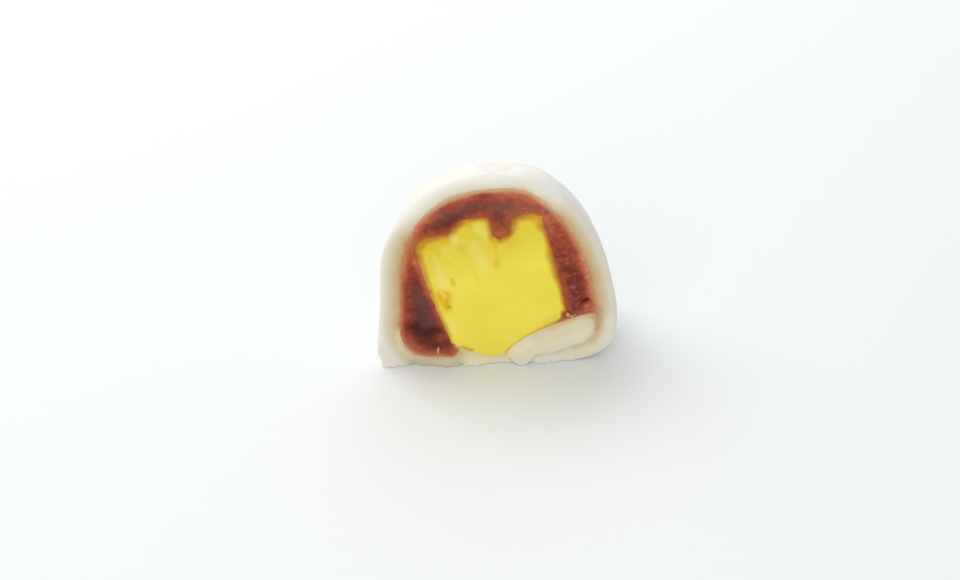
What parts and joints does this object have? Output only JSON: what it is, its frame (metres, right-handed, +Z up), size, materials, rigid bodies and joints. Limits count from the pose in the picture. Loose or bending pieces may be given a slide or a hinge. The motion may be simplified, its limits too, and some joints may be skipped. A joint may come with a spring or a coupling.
{
  "type": "halved pineapple daifuku",
  "caption": "Half of a round rice cake, flat where it stands and where it is cut: white chewy skin round red bean paste and a yellow chunk of pineapple.",
  "frame": {"origin": "middle of the underside of the whole piece's box, on the surface it stands on", "axes": "+Z up, the cut face looks towards -Y, +X to the right of the cut as it is looked at, +Y towards the round back"},
  "size_m": [0.0562, 0.0294, 0.05],
  "materials": {
    "mochi": "soft steamed rice dough, satin where it is cut and dull with starch outside",
    "bean_paste": "smooth moist paste of red beans, dull with a fine grain",
    "pineapple": "wet juicy fruit flesh with fine fibres"
  },
  "bodies": {
    "root": {"mochi_skin": "mochi", "bean_paste": "bean_paste", "pineapple": "pineapple"}
  },
  "joints": []
}
